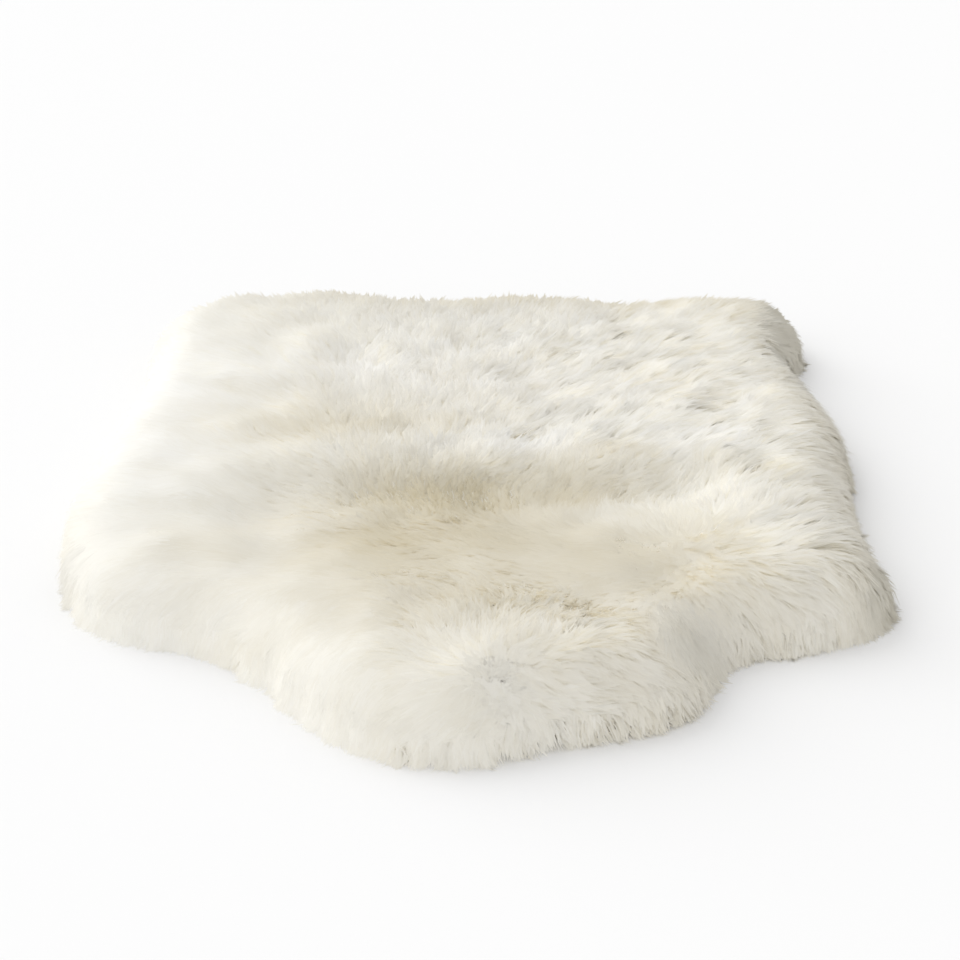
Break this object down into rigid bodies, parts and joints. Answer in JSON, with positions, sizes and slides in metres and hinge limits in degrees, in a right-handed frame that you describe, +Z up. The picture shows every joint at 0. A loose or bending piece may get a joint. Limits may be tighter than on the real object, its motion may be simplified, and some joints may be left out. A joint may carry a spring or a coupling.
{
  "type": "sheepskin rug",
  "caption": "Single-pelt sheepskin rug with long cream wool, uneven lobed outline, hollow middle and shaggy rim, lying flat wool side up.",
  "frame": {"origin": "middle of the rug's box, on the underside that lies on the surface", "axes": "+Z up out of the wool, +Y from the front tongue to the straighter rear edge along the rug's length, +X to the right seen from the tongue"},
  "size_m": [0.701, 0.9518, 0.0645],
  "materials": {
    "wool": "soft matte cream wool, warmer at its roots, pale at its tips",
    "hide": "napped suede side of the hide, matte"
  },
  "bodies": {
    "root": {"sheepskin": "wool"}
  },
  "joints": []
}
